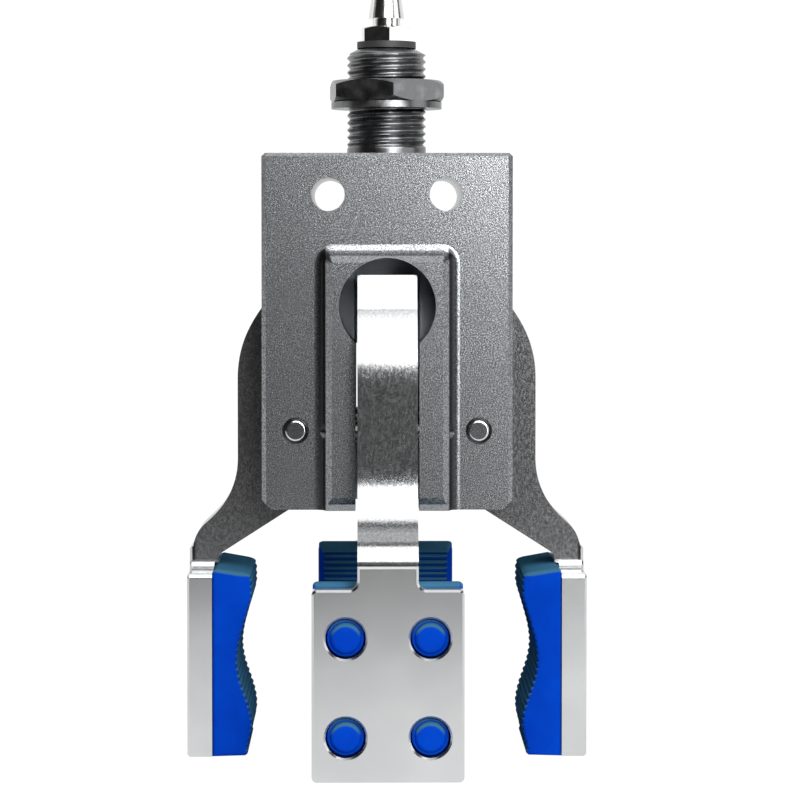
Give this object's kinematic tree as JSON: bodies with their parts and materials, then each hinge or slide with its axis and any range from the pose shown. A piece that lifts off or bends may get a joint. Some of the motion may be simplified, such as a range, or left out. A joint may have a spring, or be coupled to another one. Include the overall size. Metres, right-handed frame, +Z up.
{
  "type": "four-jaw pneumatic gripper",
  "caption": "Compact air-driven gripper with a square metal body, a threaded mounting stem, a hose fitting and swinging fingers that carry blue serrated pads on flat jaw plates.",
  "frame": {"origin": "centre of the body's top face, on the axis of the threaded stem", "axes": "+Z up along the stem, away from the jaws; -Y towards the front jaw; +X towards the right jaw"},
  "size_m": [0.0546, 0.0546, 0.1068],
  "materials": {
    "body_coated": "blasted and dark grey anodised",
    "finger_metal": "dark coated arm with bare satin plate",
    "dark_steel": "black oxide, slightly glossy",
    "ground_steel": "ground and polished",
    "bright_plated": "bright plated",
    "spring_steel": "drawn wire",
    "plain_aluminium": "turned and clear anodised, slightly bluish",
    "black_rubber": "moulded",
    "blue_rubber": "moulded, smooth sides and serrated gripping face"
  },
  "bodies": {
    "housing": {"body_block": "body_coated", "threaded_stem": "dark_steel", "stem_seal": "black_rubber", "jam_nut": "dark_steel", "lock_washer": "dark_steel", "fitting_gasket": "black_rubber", "air_fitting": "bright_plated", "spring_seat": "plain_aluminium", "return_spring": "spring_steel", "pivot_pin_right": "ground_steel", "pivot_pin_back": "ground_steel", "pivot_pin_left": "ground_steel", "pivot_pin_front": "ground_steel", "finger_spring_right": "spring_steel", "finger_spring_back": "spring_steel", "finger_spring_left": "spring_steel", "finger_spring_front": "spring_steel"},
    "drive": {"piston": "plain_aluminium", "piston_seal": "black_rubber", "wedge_cone": "plain_aluminium", "cone_screw": "dark_steel"},
    "right_jaw": {"finger_right": "finger_metal", "pad_right": "blue_rubber"},
    "back_jaw": {"finger_back": "finger_metal", "pad_back": "blue_rubber"},
    "left_jaw": {"finger_left": "finger_metal", "pad_left": "blue_rubber"},
    "front_jaw": {"finger_front": "finger_metal", "pad_front": "blue_rubber"}
  },
  "joints": [
    {"name": "piston_slide", "type": "slide", "parent": "housing", "child": "drive", "axis": [0, 0, -1], "range_m": [0, 0.003], "stiffness_N_per_m": 600, "springref_m": -0.004, "deforming": ["return_spring"]},
    {"name": "right_pivot", "type": "hinge", "parent": "housing", "child": "right_jaw", "pos_m": [0.0124, 0, -0.0376], "axis": [0, 1, 0], "range_deg": [0, 8], "deforming": ["finger_spring_right"]},
    {"name": "back_pivot", "type": "hinge", "parent": "housing", "child": "back_jaw", "pos_m": [0, 0.0147, -0.0376], "axis": [-1, 0, 0], "range_deg": [0, 8], "deforming": ["finger_spring_back"]},
    {"name": "left_pivot", "type": "hinge", "parent": "housing", "child": "left_jaw", "pos_m": [-0.0124, 0, -0.0376], "axis": [0, -1, 0], "range_deg": [0, 8], "deforming": ["finger_spring_left"]},
    {"name": "front_pivot", "type": "hinge", "parent": "housing", "child": "front_jaw", "pos_m": [0, -0.0147, -0.0376], "axis": [1, 0, 0], "range_deg": [0, 8], "deforming": ["finger_spring_front"]}
  ],
  "couplings": [
    {"joint": "right_pivot", "follows": "piston_slide", "rad_per_m": 46.5},
    {"joint": "back_pivot", "follows": "piston_slide", "rad_per_m": 46.5},
    {"joint": "left_pivot", "follows": "piston_slide", "rad_per_m": 46.5},
    {"joint": "front_pivot", "follows": "piston_slide", "rad_per_m": 46.5}
  ]
}
